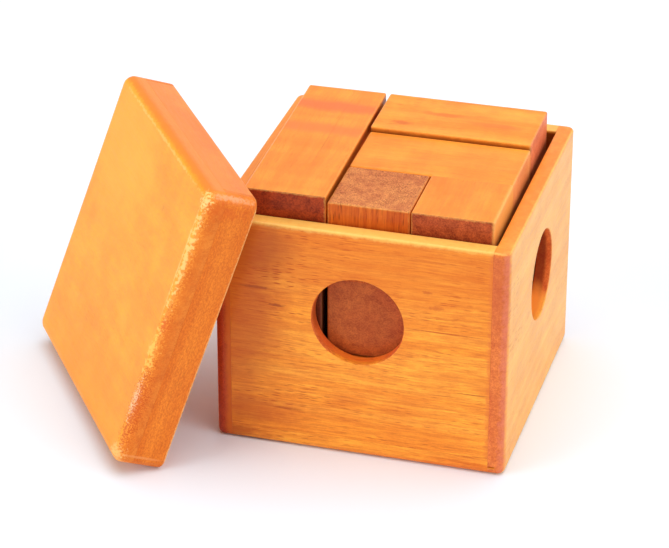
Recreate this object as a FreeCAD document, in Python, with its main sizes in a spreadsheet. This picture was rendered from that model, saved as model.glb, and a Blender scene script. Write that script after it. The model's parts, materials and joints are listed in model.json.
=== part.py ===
import FreeCAD, Part
import math
import os
import Sketcher

# A wooden box with a loose lid, filled by a block puzzle of seven pieces that make a cube.
# Millimetres. The origin is the middle of the box's underside: +X right, +Y back, +Z up.

doc = FreeCAD.newDocument("PuzzleBox")

# The sizes that drive the model, each written once.
DRIVING_SIZES = (
    ("cube_side", 20.0, "side of one puzzle cube"),
    ("cube_gap", 0.2, "gap between puzzle pieces side by side"),
    ("layer_gap", 0.3, "gap under each puzzle layer"),
    ("proud", 1.25, "how much thicker the two tall bars are cut"),
    ("narrow_cube", 1.0, "how much the cube of the ell is sanded down on its right side"),
    ("edge_ease", 0.5, "rounding of the puzzle pieces' edges"),
    ("puzzle_play", 3.6, "room left across the box beside the puzzle"),
    ("puzzle_shift", 0.39, "how far right of the box's middle the puzzle lies"),
    ("puzzle_turn", 0.7, "how far the puzzle lies turned in the box, degrees"),
    ("tee_turn", 0.6, "how much further the tee lies turned, degrees"),
    ("tee_shift", 0.5, "how far left of its place in the cube the tee lies"),
    ("front_gap", 0.3, "least gap between the puzzle's corner and the front wall"),
    ("wall", 4.0, "thickness of the four wall boards"),
    ("bottom", 4.3, "thickness of the bottom board"),
    ("reveal", 5.2, "height of the puzzle's even top above the rim"),
    ("corner_radius", 2.0, "rounding of the box's upright edges"),
    ("foot_radius", 1.7, "rounding of the edges of the box's foot"),
    ("rim_ease", 0.6, "rounding of the rim's outer edge"),
    ("hole_diameter", 22.6, "finger hole"),
    ("hole_height", 36.6, "middle of the front and back finger holes above the table"),
    ("side_hole_drop", 0.6, "how much lower the side walls' holes are drilled"),
    ("front_hole_shift", 0.5, "how far left of the middle the front wall's hole is drilled"),
    ("side_hole_shift", 1.2, "how far behind the middle the side walls' holes are drilled"),
    ("lid_overhang", 0.35, "how far the lid reaches past the box on each side"),
    ("lid_panel", 4.8, "thickness of the lid's panel"),
    ("lid_rail_height", 8.1, "height of the lid's rails, the depth of its recess"),
    ("lid_rail_width", 4.0, "thickness of the lid's rails"),
    ("lid_corner_radius", 3.0, "rounding of the lid's corners"),
    ("lid_face_radius", 2.4, "rounding of the edges of the lid's outer face"),
    ("lid_rim_ease", 0.8, "rounding of the outer edge of the lid's rim"),
    ("lid_lean", 20.57, "lean of the lid from upright, degrees"),
    ("lid_yaw", 35.0, "turn of the leaning lid towards the front, degrees"),
    ("lid_touch", 24.37, "distance along the lid from its middle to where it leans on the puzzle"),
    ("lean_gap", 0.12, "gap between the leaning lid and the unrounded corner of the tee"),
)

# Sizes that follow from them. half_turned is how far the turned puzzle reaches from its middle.
FOLLOWING_SIZES = (
    ("pitch", "Sizes.cube_side + Sizes.cube_gap"),
    ("layer", "Sizes.cube_side + Sizes.layer_gap"),
    ("puzzle_width", "3 * Sizes.cube_side + 2 * Sizes.cube_gap"),
    ("half_turned", "puzzle_width / 2 * (cos(Sizes.puzzle_turn) + sin(Sizes.puzzle_turn))"),
    ("inner", "puzzle_width + Sizes.puzzle_play"),
    ("outer", "inner + 2 * Sizes.wall"),
    ("rim_height", "Sizes.bottom + 3 * layer - Sizes.reveal"),
    ("puzzle_back", "Sizes.front_gap + half_turned - inner / 2"),
    ("lid_side", "outer + 2 * Sizes.lid_overhang"),
    ("lid_opening", "lid_side - 2 * Sizes.lid_rail_width"),
    ("lid_height", "Sizes.lid_rail_height + Sizes.lid_panel"),
)

sizes = doc.addObject("Spreadsheet::Sheet", "Sizes")
for row, (alias, value, words) in enumerate(DRIVING_SIZES, start=1):
    sizes.set(f"A{row}", words)
    sizes.set(f"B{row}", str(value))
    sizes.setAlias(f"B{row}", alias)
doc.recompute()

derived = doc.addObject("Spreadsheet::Sheet", "Derived")
for row, (alias, formula) in enumerate(FOLLOWING_SIZES, start=1):
    derived.set(f"A{row}", f"={formula}")
    derived.setAlias(f"A{row}", alias)
    doc.recompute()

# Every sub-part, in the order in which the object is put together.
nodes = []


def bind(thing, expressions):
    """Tie the named properties of a thing to expressions on the sheets."""
    for name, expression in expressions.items():
        thing.setExpression(name, expression)


def place(thing, corner):
    """Tie a thing's corner to three expressions."""
    bind(thing, {f"Placement.Base.{axis}": words for axis, words in zip("xyz", corner)})


def block(name, size, corner):
    """A sawn rectangular block, from its three sizes and its lowest corner."""
    box = doc.addObject("Part::Box", name)
    bind(box, dict(zip(("Length", "Width", "Height"), size)))
    place(box, corner)
    return box


def edges_where(shape, test):
    """Names of the shape's edges whose two ends both pass the test."""
    found = []
    for number, edge in enumerate(shape.Edges, start=1):
        if all(test(vertex.Point) for vertex in edge.Vertexes):
            found.append(f"Edge{number}")
    return found


def upright_edges(shape):
    """Names of the shape's edges that run along Z."""
    found = []
    for number, edge in enumerate(shape.Edges, start=1):
        low, high = edge.BoundBox.ZMin, edge.BoundBox.ZMax
        if math.isclose(edge.Length, high - low):
            found.append(f"Edge{number}")
    return found


def round_edges(body, name, base, edges, radius):
    """Round the named edges of the base feature, with the radius tied to an expression."""
    fillet = body.newObject("PartDesign::Fillet", name)
    fillet.Base = (base, edges)
    fillet.setExpression("Radius", radius)
    doc.recompute()
    return fillet


def rounded_outside(name, size, corner, upright_radius, foot_radius, top_radius):
    """The outside of a glued-up box or lid after sanding: a block with its upright edges, the edges of its
    foot and the edges of its top each rounded to a radius of their own."""
    body = doc.addObject("PartDesign::Body", name)
    core = body.newObject("PartDesign::AdditiveBox", f"{name}_core")
    bind(core, dict(zip(("Length", "Width", "Height"), size)))
    doc.recompute()
    top = core.Shape.BoundBox.ZMax
    rounded = round_edges(body, f"{name}_upright", core, upright_edges(core.Shape), upright_radius)
    for end, height, radius in (("foot", 0, foot_radius), ("top", top, top_radius)):
        edges = edges_where(rounded.Shape, lambda point: math.isclose(point.z, height, abs_tol=1e-6))
        rounded = round_edges(body, f"{name}_{end}", rounded, edges, radius)
    place(body, corner)
    return body


def sanded(label, blank, outside):
    """One board of a glued-up box or lid: the part of its blank that the sanded outside leaves."""
    board = doc.addObject("Part::Common", label)
    board.Base = blank
    board.Tool = outside
    board.Label = label
    nodes.append(board)
    return board


def sketch_on(body, role, name):
    """A sketch on one of the body's own origin planes."""
    sketch = body.newObject("Sketcher::SketchObject", name)
    plane = next(feature for feature in body.Origin.OriginFeatures if feature.Role == role)
    sketch.AttachmentSupport = [(plane, "")]
    sketch.MapMode = "FlatFace"
    return sketch


def draw_board(sketch, width, height):
    """A rectangle that stands on the sketch's first axis, centred on its second."""
    corners = [(-1, 0), (1, 0), (1, 1), (-1, 1)]
    points = [FreeCAD.Vector(x, y, 0) for x, y in corners]
    for start, end in zip(points, points[1:] + points[:1]):
        sketch.addGeometry(Part.LineSegment(start, end))
    for line in range(4):
        sketch.addConstraint(Sketcher.Constraint("Coincident", line, 2, (line + 1) % 4, 1))
    for line, direction in ((1, "Vertical"), (2, "Horizontal"), (3, "Vertical")):
        sketch.addConstraint(Sketcher.Constraint(direction, line))
    sketch.addConstraint(Sketcher.Constraint("PointOnObject", 0, 1, -1))
    sketch.addConstraint(Sketcher.Constraint("Symmetric", 0, 1, 0, 2, -2))
    for name, line, kind, words in (("width", 0, "DistanceX", width), ("height", 1, "DistanceY", height)):
        number = sketch.addConstraint(Sketcher.Constraint(kind, line, 1, line, 2, 1.0))
        sketch.renameConstraint(number, name)
        sketch.setExpression(f"Constraints.{name}", words)


def draw_hole(sketch, across, up):
    """The finger hole's circle, at a distance along and above the board's lower edge."""
    sketch.addGeometry(Part.Circle(FreeCAD.Vector(1, 1, 0), FreeCAD.Vector(0, 0, 1), 1))
    for name, constraint, words in (
        ("diameter", Sketcher.Constraint("Diameter", 0, 2.0), "Sizes.hole_diameter"),
        ("across", Sketcher.Constraint("DistanceX", -1, 1, 0, 3, 1.0), across),
        ("up", Sketcher.Constraint("DistanceY", -1, 1, 0, 3, 1.0), up),
    ):
        number = sketch.addConstraint(constraint)
        sketch.renameConstraint(number, name)
        sketch.setExpression(f"Constraints.{name}", words)


def drilled_board(name, role, width, height, across, up, corner):
    """A wall board standing on its edge: its outline padded to the wall's thickness, then drilled."""
    body = doc.addObject("PartDesign::Body", name)
    outline = sketch_on(body, role, f"{name}_outline")
    draw_board(outline, width, height)
    pad = body.newObject("PartDesign::Pad", f"{name}_pad")
    pad.Profile = outline
    pad.setExpression("Length", "Sizes.wall")
    circle = sketch_on(body, role, f"{name}_hole")
    draw_hole(circle, across, up)
    drilling = body.newObject("PartDesign::Pocket", f"{name}_drilling")
    drilling.Profile = circle
    drilling.Type = "ThroughAll"
    drilling.Reversed = True
    place(body, corner)
    doc.recompute()
    hole_area = math.pi * sizes.hole_diameter ** 2 / 4
    removed = pad.Shape.Volume - drilling.Shape.Volume
    if not math.isclose(removed, hole_area * sizes.wall, rel_tol=1e-6):
        raise RuntimeError(f"{name}: the finger hole isn't drilled through")
    return body


# The box: two side walls of full depth, the bottom board and the front and back walls between them.
# It is glued up square, then its corners, foot and rim are rounded as one block.
box_outside = rounded_outside(
    "box_outside",
    ("Derived.outer", "Derived.outer", "Derived.rim_height"),
    ("-Derived.outer / 2", "-Derived.outer / 2", "0"),
    "Sizes.corner_radius", "Sizes.foot_radius", "Sizes.rim_ease",
)

bottom_blank = block(
    "bottom_blank",
    ("Derived.inner", "Derived.outer", "Sizes.bottom"),
    ("-Derived.inner / 2", "-Derived.outer / 2", "0"),
)
sanded("bottom_board", bottom_blank, box_outside)

for side, inside_x in (("left", "-Derived.outer / 2"), ("right", "Derived.inner / 2")):
    blank = drilled_board(
        f"{side}_blank", "YZ_Plane", "Derived.outer", "Derived.rim_height",
        "Sizes.side_hole_shift", "Sizes.hole_height - Sizes.side_hole_drop", (inside_x, "0", "0"),
    )
    sanded(f"{side}_wall", blank, box_outside)

# A board drawn on the XZ plane is padded towards the front, so it is placed by its back face.
for side, back_face, across in (
    ("front", "-Derived.inner / 2", "-Sizes.front_hole_shift"),
    ("back", "Derived.outer / 2", "0"),
):
    blank = drilled_board(
        f"{side}_blank", "XZ_Plane", "Derived.inner", "Derived.rim_height - Sizes.bottom",
        across, "Sizes.hole_height - Sizes.bottom", ("0", back_face, "Sizes.bottom"),
    )
    sanded(f"{side}_wall", blank, box_outside)

# The puzzle: seven pieces glued up from bars and single cubes. Each block is given by its first and last
# cell, counted from the front left of the bottom layer, and by the face that reaches out over the gap
# to the block that it is glued to.
TALL_BLOCKS = ("tee_bar", "zed_upper_bar")
NARROW_BLOCK = "ell_cube"
SKEWED_BLOCKS = ("tee_bar", "tee_cube")
PUZZLE_BLOCKS = (
    ("right_twist_bar", (1, 2, 0), (2, 2, 0), ""),
    ("right_twist_side_cube", (1, 1, 0), (1, 1, 0), "+y"),
    ("right_twist_top_cube", (2, 2, 1), (2, 2, 1), "-z"),
    ("ell_bar", (0, 0, 0), (0, 2, 0), ""),
    ("ell_cube", (0, 0, 1), (0, 0, 1), "-z"),
    ("tripod_bar", (1, 0, 0), (2, 0, 0), ""),
    ("tripod_side_cube", (2, 1, 0), (2, 1, 0), "-y"),
    ("tripod_top_cube", (2, 0, 1), (2, 0, 1), "-z"),
    ("zed_lower_bar", (0, 2, 1), (1, 2, 1), "+z"),
    ("zed_upper_bar", (1, 2, 2), (2, 2, 2), ""),
    ("left_twist_bar", (1, 0, 1), (1, 1, 1), ""),
    ("left_twist_side_cube", (2, 1, 1), (2, 1, 1), "-x"),
    ("left_twist_top_cube", (1, 0, 2), (1, 0, 2), "-z"),
    ("tee_cube", (0, 1, 1), (0, 1, 1), "+z"),
    ("tee_bar", (0, 0, 2), (0, 2, 2), ""),
    ("angle_bar", (1, 1, 2), (2, 1, 2), ""),
    ("angle_cube", (2, 0, 2), (2, 0, 2), "+y"),
)


def turned(angle, across, along):
    """The two expressions of a point in the plan after a turn about the middle."""
    return (
        f"cos({angle}) * ({across}) - sin({angle}) * ({along})",
        f"sin({angle}) * ({across}) + cos({angle}) * ({along})",
    )


def puzzle_block(label, first, last, glued):
    """One bar or cube of the puzzle, with its edges eased, in its place in the turned puzzle."""
    gaps = ("Sizes.cube_gap", "Sizes.cube_gap", "Sizes.layer_gap")
    steps = ("Derived.pitch", "Derived.pitch", "Derived.layer")
    starts = ("-Derived.puzzle_width / 2", "-Derived.puzzle_width / 2", "Sizes.bottom + Sizes.layer_gap")
    size, corner = [], []
    for axis, letter in enumerate("xyz"):
        extra = f" + {gaps[axis]}" if letter in glued else ""
        back = f" - {gaps[axis]}" if glued == f"-{letter}" else ""
        size.append(f"{last[axis] - first[axis]} * {steps[axis]} + Sizes.cube_side{extra}")
        corner.append(f"{starts[axis]} + {first[axis]} * {steps[axis]}{back}")
    if label in TALL_BLOCKS:
        size[2] += " + Sizes.proud"
    if label == NARROW_BLOCK:
        size[0] += " - Sizes.narrow_cube"
    body = doc.addObject("PartDesign::Body", label)
    core = body.newObject("PartDesign::AdditiveBox", f"{label}_core")
    bind(core, dict(zip(("Length", "Width", "Height"), size)))
    doc.recompute()
    every_edge = [f"Edge{number}" for number in range(1, len(core.Shape.Edges) + 1)]
    round_edges(body, f"{label}_eased", core, every_edge, "Sizes.edge_ease")
    across, along, up = corner
    angle = "Sizes.puzzle_turn"
    if label in SKEWED_BLOCKS:
        across, along = turned("Sizes.tee_turn", f"{across} + Derived.pitch", along)
        across += " - Derived.pitch - Sizes.tee_shift"
        angle += " + Sizes.tee_turn"
    across, along = turned("Sizes.puzzle_turn", across, along)
    place(body, (f"Sizes.puzzle_shift + {across}", f"Derived.puzzle_back + {along}", up))
    body.setExpression("Placement.Rotation.Angle", angle)
    body.Label = label
    nodes.append(body)


for puzzle_piece in PUZZLE_BLOCKS:
    puzzle_block(*puzzle_piece)
doc.recompute()

# The lid: a panel glued on a frame of four rails, rounded after glue-up like the box. It is drawn as it
# lies on a table, mouth down and centred, then stood on its front edge to lean on the tee's bar.
lid_outside = rounded_outside(
    "lid_outside",
    ("Derived.lid_side", "Derived.lid_side", "Derived.lid_height"),
    ("-Derived.lid_side / 2", "-Derived.lid_side / 2", "0"),
    "Sizes.lid_corner_radius", "Sizes.lid_rim_ease", "Sizes.lid_face_radius",
)

long_rail = ("Sizes.lid_rail_width", "Derived.lid_side", "Sizes.lid_rail_height")
short_rail = ("Derived.lid_opening", "Sizes.lid_rail_width", "Sizes.lid_rail_height")
lid_blanks = {
    "lid_panel": (
        ("Derived.lid_side", "Derived.lid_side", "Sizes.lid_panel"),
        ("-Derived.lid_side / 2", "-Derived.lid_side / 2", "Sizes.lid_rail_height"),
    ),
    "lid_left_rail": (long_rail, ("-Derived.lid_side / 2", "-Derived.lid_side / 2", "0")),
    "lid_right_rail": (long_rail, ("Derived.lid_opening / 2", "-Derived.lid_side / 2", "0")),
    "lid_front_rail": (short_rail, ("-Derived.lid_opening / 2", "-Derived.lid_side / 2", "0")),
    "lid_back_rail": (short_rail, ("-Derived.lid_opening / 2", "Derived.lid_opening / 2", "0")),
}


def leaning_lid():
    """Where the lid stands: its eased front edge on the table and its back rail by the tee's corner."""
    lean = math.radians(sizes.lid_lean)
    turn = FreeCAD.Rotation(FreeCAD.Vector(0, 0, 1), sizes.lid_yaw - 90)
    tip = FreeCAD.Rotation(FreeCAD.Vector(1, 0, 0), 90 - sizes.lid_lean)
    rotation = turn.multiply(tip)
    along = rotation.multVec(FreeCAD.Vector(1, 0, 0))
    outwards = turn.multVec(FreeCAD.Vector(0, -1, 0))
    tee_angle = FreeCAD.Rotation(FreeCAD.Vector(0, 0, 1), sizes.tee_turn)
    puzzle_angle = FreeCAD.Rotation(FreeCAD.Vector(0, 0, 1), sizes.puzzle_turn)
    half = derived.puzzle_width / 2
    corner = tee_angle.multVec(FreeCAD.Vector(derived.pitch - half, -half, 0))
    corner.x -= derived.pitch + sizes.tee_shift
    corner = puzzle_angle.multVec(corner)
    corner += FreeCAD.Vector(sizes.puzzle_shift, derived.puzzle_back, 0)
    corner.z = derived.rim_height + sizes.reveal + sizes.proud
    sunk = sizes.lid_rim_ease * (math.cos(lean) + math.sin(lean) - 1)
    middle_height = derived.lid_side / 2 * math.cos(lean) - sunk
    behind = (sizes.lean_gap + math.sin(lean) * (corner.z - middle_height)) / math.cos(lean)
    middle = corner - along * sizes.lid_touch + outwards * behind
    middle.z = middle_height
    return FreeCAD.Placement(middle, rotation)


for label, (size, corner) in lid_blanks.items():
    lid_board = sanded(label, block(f"{label}_blank", size, corner), lid_outside)
    lid_board.Placement = leaning_lid()
doc.recompute()

for thing in doc.Objects:
    if "Invalid" in thing.State or "Error" in thing.State:
        raise RuntimeError(f"{thing.Label} failed to build")
for node in nodes:
    if node.Shape.isNull() or not node.Shape.isValid() or len(node.Shape.Solids) != 1:
        raise RuntimeError(f"{node.Label} isn't one sound solid")

os.makedirs("parts", exist_ok=True)
for node in nodes:
    node.Shape.exportStep(f"parts/{node.Label}.step")
print(f"{len(nodes)} sub-parts, box {derived.outer:.1f} wide and {derived.rim_height:.1f} high")
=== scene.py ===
import json
import math

import bmesh
import bpy
from mathutils import Matrix, Vector, noise


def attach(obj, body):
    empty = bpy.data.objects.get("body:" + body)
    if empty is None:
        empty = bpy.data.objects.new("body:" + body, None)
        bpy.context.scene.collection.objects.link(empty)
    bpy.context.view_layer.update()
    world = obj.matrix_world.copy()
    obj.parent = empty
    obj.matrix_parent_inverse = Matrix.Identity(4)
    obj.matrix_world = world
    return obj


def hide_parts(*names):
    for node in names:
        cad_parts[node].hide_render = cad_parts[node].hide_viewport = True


# A small lacquered wooden box with a loose lid that leans on it, filled by a puzzle of seven pieces.
# Metres, in the frame of the CAD model: +X right, +Y back, +Z up, the box standing on Z = 0.
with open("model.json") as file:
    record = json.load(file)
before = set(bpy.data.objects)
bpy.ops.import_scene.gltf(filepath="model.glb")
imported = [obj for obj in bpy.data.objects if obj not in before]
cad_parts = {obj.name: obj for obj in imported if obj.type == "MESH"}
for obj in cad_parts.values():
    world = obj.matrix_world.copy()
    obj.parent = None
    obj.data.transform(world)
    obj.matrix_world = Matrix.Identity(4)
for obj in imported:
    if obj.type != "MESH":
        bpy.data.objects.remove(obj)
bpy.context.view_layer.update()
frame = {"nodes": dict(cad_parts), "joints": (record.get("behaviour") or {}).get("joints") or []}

# Bottom board. A plain sawn board that lies between the two side walls, as deep as the box, so that
# its front edge shows as a band under the front wall. The foot is rounded after the box is glued up.
MM = 0.001
X, Y, Z = range(3)
SQUARE = Matrix.Identity(3)
FOOT_RADIUS = 1.7 * MM
GLUE_LINE = 0.015 * MM
TOUCH = 0.01 * MM


def span(node, turn):
    """Lowest and highest corner of a CAD node, measured along the axes of a turned frame."""
    level = turn.transposed()
    points = [level @ vertex.co for vertex in frame["nodes"][node].data.vertices]
    low = Vector([min(point[axis] for point in points) for axis in range(3)])
    high = Vector([max(point[axis] for point in points) for axis in range(3)])
    return low, high


def sawn_block(low, high):
    """A sawn block between two corners."""
    block = bmesh.new()
    bmesh.ops.create_cube(block, size=1.0)
    bmesh.ops.scale(block, vec=high - low, verts=block.verts)
    bmesh.ops.translate(block, vec=(low + high) / 2, verts=block.verts)
    return block


def cut_across(block, axis, place):
    """Cut the block's mesh with a plane across an axis."""
    point, normal = Vector(), Vector()
    point[axis], normal[axis] = place, 1.0
    geometry = block.verts[:] + block.edges[:] + block.faces[:]
    bmesh.ops.bisect_plane(block, geom=geometry, dist=TOUCH / 10, plane_co=point, plane_no=normal)


def cut_grid(block, low, high, step, margin):
    """Cut the block's faces into a grid of about one step, clear of its rounded edges."""
    for axis in range(3):
        first, last = low[axis] + margin, high[axis] - margin
        count = max(1, round((last - first) / step))
        for cut in range(count + 1):
            cut_across(block, axis, first + (last - first) * cut / count)


def sharp_edges(block, test=lambda first, last: True):
    """The block's square edges whose two ends pass the test."""
    square = math.radians(60)
    edges = [edge for edge in block.edges if edge.calc_face_angle(0.0) > square]
    return [edge for edge in edges if test(edge.verts[0].co, edge.verts[1].co)]


def round_over(block, edges, radius, steps):
    """Round edges of the block to a radius."""
    bmesh.ops.bevel(
        block, geom=edges, offset=radius, offset_type="OFFSET", affect="EDGES",
        segments=steps, profile=0.5, material=-1,
    )


def hand_sand(block, depth):
    """Take a little off the surface by hand: unevenly, and most of it along the edges."""
    broad, fine = 9.0 * MM, 2.5 * MM
    on_faces, on_edges = 0.25, 4.0
    block.normal_update()
    for vertex in block.verts:
        edge_share = 1.0 - max(abs(part) for part in vertex.normal)
        swell = 0.5 + 0.5 * noise.noise(vertex.co / broad)
        ripple = 0.5 + 0.5 * noise.noise(vertex.co / fine)
        vertex.co -= vertex.normal * depth * (on_faces * swell + on_edges * edge_share * swell * ripple)


def finished_piece(name, block, turn, material, body):
    """Turn a block into its place as a piece that rides on a body and stands for the node of its name."""
    bmesh.ops.recalc_face_normals(block, faces=block.faces)
    bmesh.ops.rotate(block, matrix=turn, verts=block.verts)
    mesh = bpy.data.meshes.new(name)
    block.to_mesh(mesh)
    block.free()
    mesh.shade_smooth()
    mesh.materials.append(material)
    piece = bpy.data.objects.new(f"{name}_wood", mesh)
    bpy.context.scene.collection.objects.link(piece)
    piece.modifiers.new("flat_faces", "WEIGHTED_NORMAL")
    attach(piece, body)
    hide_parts(name)


def add_node(tree, kind, inputs=None, **settings):
    """A shader node with its settings, and its inputs linked or set."""
    made = tree.nodes.new(f"ShaderNode{kind}")
    for name, value in settings.items():
        setattr(made, name, value)
    for key, value in (inputs or {}).items():
        if isinstance(value, bpy.types.NodeSocket):
            tree.links.new(value, made.inputs[key])
        else:
            made.inputs[key].default_value = value
    return made


def sums(tree, operation, *values):
    """The result of a Math node."""
    return add_node(tree, "Math", dict(enumerate(values)), operation=operation).outputs[0]


def vector_sums(tree, operation, *values):
    """The result of a Vector Math node."""
    made = add_node(tree, "VectorMath", dict(enumerate(values)), operation=operation)
    return made.outputs["Value" if operation in ("LENGTH", "DOT_PRODUCT") else "Vector"]


def eased(tree, value, low, high, bottom=0.0, top=1.0):
    """A value eased from bottom to top as it goes from low to high."""
    made = add_node(
        tree, "MapRange",
        {"Value": value, "From Min": low, "From Max": high, "To Min": bottom, "To Max": top},
        interpolation_type="SMOOTHSTEP",
    )
    return made.outputs["Result"]


def mixed(tree, share, first, second, blend="MIX"):
    """Two colours mixed by a share."""
    made = add_node(tree, "Mix", {0: share, 6: first, 7: second}, data_type="RGBA", blend_type=blend)
    return made.outputs[2]


def cloud(tree, place, scale, detail=2.0, roughness=0.5):
    """Noise over a place in millimetres, with its own scale along each axis."""
    stretched = vector_sums(tree, "MULTIPLY", place, scale)
    return add_node(
        tree, "TexNoise", {"Vector": stretched, "Scale": 1.0, "Detail": detail, "Roughness": roughness},
    )


def dashes(tree, place, scale, share, least, most):
    """Scattered dashes along X, in a share of the cells: 1 in their middle, 0 between them."""
    stretched = vector_sums(tree, "MULTIPLY", place, scale)
    cells = add_node(tree, "TexVoronoi", {"Vector": stretched, "Scale": 1.0, "Randomness": 1.0})
    chance = add_node(tree, "SeparateColor", {"Color": cells.outputs["Color"]}).outputs["Red"]
    kept = sums(tree, "LESS_THAN", chance, share)
    return sums(tree, "MULTIPLY", eased(tree, cells.outputs["Distance"], most, least), kept)


def new_group(name, inputs, outputs):
    """An empty shader node group with named sockets, and its input and output nodes."""
    tree = bpy.data.node_groups.new(name, "ShaderNodeTree")
    kinds = {"vector": "NodeSocketVector", "colour": "NodeSocketColor", "value": "NodeSocketFloat"}
    for side, sockets in (("INPUT", inputs), ("OUTPUT", outputs)):
        for kind, labels in sockets.items():
            for label in labels:
                tree.interface.new_socket(label, in_out=side, socket_type=kinds[kind])
    taken = tree.nodes.new("NodeGroupInput").outputs
    given = tree.nodes.new("NodeGroupOutput").inputs
    return tree, taken, given


def make_stained_wood():
    """Stained wood with X along its grain: bands of early and late wood, fibres, ripples across the grain,
    and open pores that take more stain. On end grain the pores show as dots and the wood is darker."""
    tree, taken, given = new_group(
        "stained_wood",
        {
            "vector": ("Place",),
            "colour": ("Light", "Dark", "Pore", "End Light", "End Dark"),
            "value": ("Seed", "End", "Band Width", "Wave", "Streak", "Fibre", "Cross", "Blotch",
                      "Speckle", "Pores"),
        },
        {"colour": ("Colour",), "value": ("Roughness", "Height")},
    )
    seed = taken["Seed"]
    seed_step = (37.0, 17.0, 11.0)
    start = add_node(tree, "CombineXYZ", {"X": seed, "Y": seed, "Z": seed}).outputs[0]
    place = vector_sums(tree, "MULTIPLY_ADD", start, seed_step, taken["Place"])
    drift = cloud(tree, place, (0.025, 0.07, 0.07), 1.0).outputs["Color"]
    drift = vector_sums(tree, "SUBTRACT", drift, (0.5, 0.5, 0.5))
    sway = add_node(tree, "CombineXYZ", {"Y": taken["Wave"], "Z": taken["Wave"]}).outputs[0]
    place = vector_sums(tree, "MULTIPLY_ADD", drift, sway, place)

    thin = sums(tree, "DIVIDE", 1.0, taken["Band Width"])
    band_scale = add_node(tree, "CombineXYZ", {"X": 0.012, "Y": thin, "Z": thin}).outputs[0]
    band = eased(tree, cloud(tree, place, band_scale, 3.0, 0.55).outputs["Fac"], 0.34, 0.66)
    streak = cloud(tree, place, (0.09, 1.5, 1.5), 3.0, 0.65).outputs["Fac"]
    fibre = cloud(tree, place, (0.2, 3.0, 3.0), 2.0, 0.6).outputs["Fac"]
    fleck = cloud(tree, place, (1.5, 2.4, 2.4), 3.0, 0.75).outputs["Fac"]
    ripple = cloud(tree, place, (0.2, 0.03, 0.03), 1.0).outputs["Fac"]
    blotch = cloud(tree, place, (0.08, 0.11, 0.11), 4.0, 0.6).outputs["Fac"]
    mottle = cloud(tree, place, (0.3, 0.4, 0.4), 4.0, 0.7).outputs["Fac"]
    crowd = eased(tree, cloud(tree, place, (0.03, 0.16, 0.16), 2.0).outputs["Fac"], 0.36, 0.62, 0.25, 1.0)
    short_pores = dashes(tree, place, (0.30, 2.4, 2.4), 0.5, 0.12, 0.45)
    long_pores = dashes(tree, place, (0.09, 1.9, 1.9), 0.35, 0.08, 0.3)
    pores = sums(tree, "MULTIPLY", sums(tree, "MAXIMUM", short_pores, long_pores), crowd)
    soaked = sums(tree, "MULTIPLY", pores, taken["Pores"])

    along = mixed(tree, band, taken["Light"], taken["Dark"])
    grainy = sums(tree, "MULTIPLY_ADD", band, 0.1, eased(tree, fleck, 0.36, 0.64, 0.0, 0.5))
    grainy = sums(tree, "ADD", grainy, eased(tree, mottle, 0.35, 0.65, 0.0, 0.38))
    across = mixed(tree, grainy, taken["End Light"], taken["End Dark"])
    colour = mixed(tree, taken["End"], along, across)
    shade = 1.0
    wavers = {"Streak": streak, "Fibre": fibre, "Cross": ripple, "Blotch": blotch, "Speckle": fleck}
    for amount, waver in wavers.items():
        swing = sums(tree, "MULTIPLY", eased(tree, waver, 0.34, 0.66, -1.0, 1.0), taken[amount])
        shade = sums(tree, "MULTIPLY", shade, sums(tree, "ADD", 1.0, swing))
    tone = add_node(tree, "CombineColor", {
        "Red": sums(tree, "POWER", shade, 0.45), "Green": shade, "Blue": shade,
    }).outputs[0]
    colour = mixed(tree, 1.0, colour, tone, "MULTIPLY")
    tree.links.new(mixed(tree, soaked, colour, taken["Pore"]), given["Colour"])

    rough = eased(tree, fibre, 0.3, 0.7, 0.34, 0.44)
    rough = sums(tree, "MULTIPLY_ADD", soaked, 0.2, rough)
    tree.links.new(sums(tree, "MULTIPLY_ADD", taken["End"], 0.12, rough), given["Roughness"])
    height = sums(tree, "MULTIPLY_ADD", fibre, 0.3, sums(tree, "MULTIPLY", fleck, 0.2))
    tree.links.new(sums(tree, "MULTIPLY_ADD", soaked, -0.5, height), given["Height"])
    return tree


def make_wear_and_inside_shade():
    """How worn a box is by hands, and where shade is painted into it: Mask is 1 on its edges, broken up
    unevenly, and 0 on its faces. Inside, the mask for painted shade, is 1 in its holes and on its inner
    faces. Place is measured from its middle, and Half is half its size."""
    tree, taken, given = new_group(
        "wear_and_inside_shade", {"vector": ("Place", "Half"), "value": ("Width", "Breaks", "Fineness")},
        {"value": ("Mask", "Inside")},
    )
    inset = vector_sums(tree, "SUBTRACT", taken["Half"], vector_sums(tree, "ABSOLUTE", taken["Place"]))
    parts = add_node(tree, "SeparateXYZ", {"Vector": inset}).outputs
    nearer = sums(tree, "MINIMUM", parts["X"], parts["Y"])
    further = sums(tree, "MAXIMUM", parts["X"], parts["Y"])
    second = sums(tree, "MAXIMUM", nearer, sums(tree, "MINIMUM", further, parts["Z"]))
    fine = taken["Fineness"]
    scale = add_node(tree, "CombineXYZ", {"X": fine, "Y": fine, "Z": fine}).outputs[0]
    rub = cloud(tree, taken["Place"], scale, 4.0, 0.7).outputs["Fac"]
    uneven = sums(tree, "MULTIPLY", sums(tree, "SUBTRACT", rub, 0.5), taken["Breaks"])
    reach = sums(tree, "ADD", sums(tree, "DIVIDE", second, taken["Width"]), uneven)
    tree.links.new(eased(tree, reach, 1.0, 0.25), given["Mask"])
    deep = eased(tree, nearer, 0.9, 2.0)
    sunk = eased(tree, parts["Z"], 0.1, 1.0)
    tree.links.new(sums(tree, "MULTIPLY", deep, sunk), given["Inside"])
    return tree


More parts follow.
